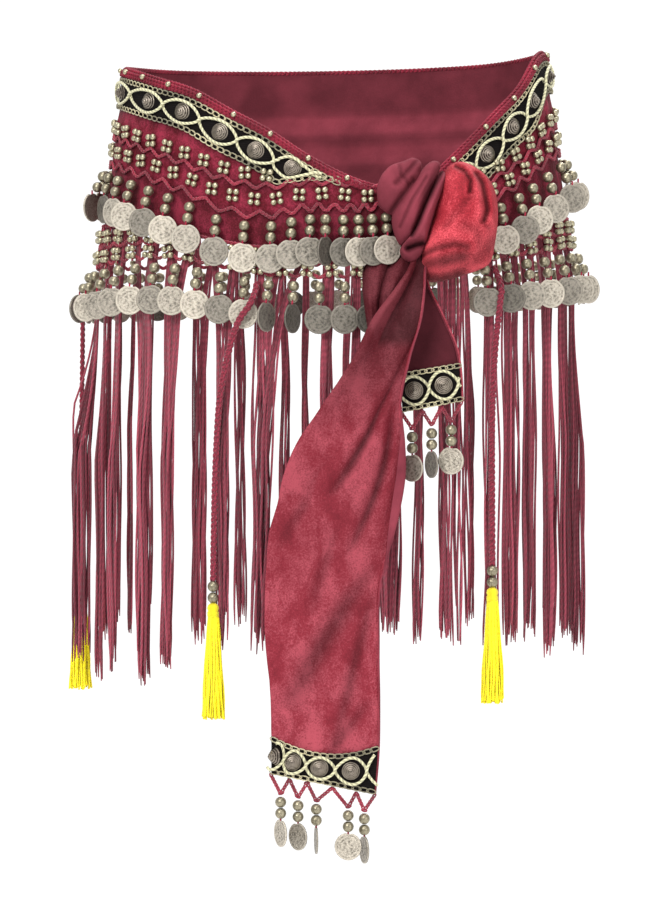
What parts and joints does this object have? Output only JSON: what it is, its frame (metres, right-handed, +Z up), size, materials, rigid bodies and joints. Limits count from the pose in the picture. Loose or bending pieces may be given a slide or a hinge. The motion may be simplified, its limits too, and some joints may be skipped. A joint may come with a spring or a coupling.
{
  "type": "belly dance hip scarf",
  "caption": "Velvet hip scarf tied at the front, with studded braid trim, a crocheted bead net, coin pendants, long yarn fringe, tasselled cords and hanging tails.",
  "frame": {"origin": "middle of the hips at the height where the scarf is held", "axes": "+Z up, the front with the knot faces -Y, +X to the right of a front view"},
  "size_m": [0.3933, 0.3005, 0.6106],
  "materials": {
    "crushed_velvet": "crushed pile with soft sheen",
    "velvet_wrong_side": "matt knitted wrong side",
    "braid_trim": "black ribbon with gold chain stitch, cord and cone studs",
    "antique_silver": "antique, darkened in the relief",
    "antique_bronze": "antique, satin",
    "crochet_thread": "matt cotton thread",
    "fringe_yarn": "matt twisted yarn",
    "tassel_yarn": "matt yarn"
  },
  "bodies": {
    "root": {"velvet_front_left": "crushed_velvet", "velvet_back": "crushed_velvet", "velvet_front_right": "crushed_velvet", "knot_right_lobe": "crushed_velvet", "knot_gather": "crushed_velvet", "long_tail": "crushed_velvet", "knot_left_lobe": "velvet_wrong_side", "knot_wrap": "velvet_wrong_side", "short_tail": "velvet_wrong_side", "trim_front_left": "braid_trim", "trim_back": "braid_trim", "trim_front_right": "braid_trim", "long_tail_trim": "braid_trim", "short_tail_trim": "braid_trim", "upper_coins_front_left": "antique_silver", "upper_coins_back": "antique_silver", "upper_coins_front_right": "antique_silver", "long_tail_coins": "antique_silver", "short_tail_coins": "antique_silver", "lower_coins_front_left": "antique_bronze", "lower_coins_back": "antique_bronze", "lower_coins_front_right": "antique_bronze", "net_front_left": "crochet_thread", "net_back": "crochet_thread", "net_front_right": "crochet_thread", "cord_left": "crochet_thread", "cord_far_left": "crochet_thread", "cord_right": "crochet_thread", "fringe_front_left": "fringe_yarn", "fringe_back": "fringe_yarn", "fringe_front_right": "fringe_yarn", "tassel_left": "tassel_yarn", "tassel_far_left": "tassel_yarn", "tassel_right": "tassel_yarn"}
  },
  "joints": []
}
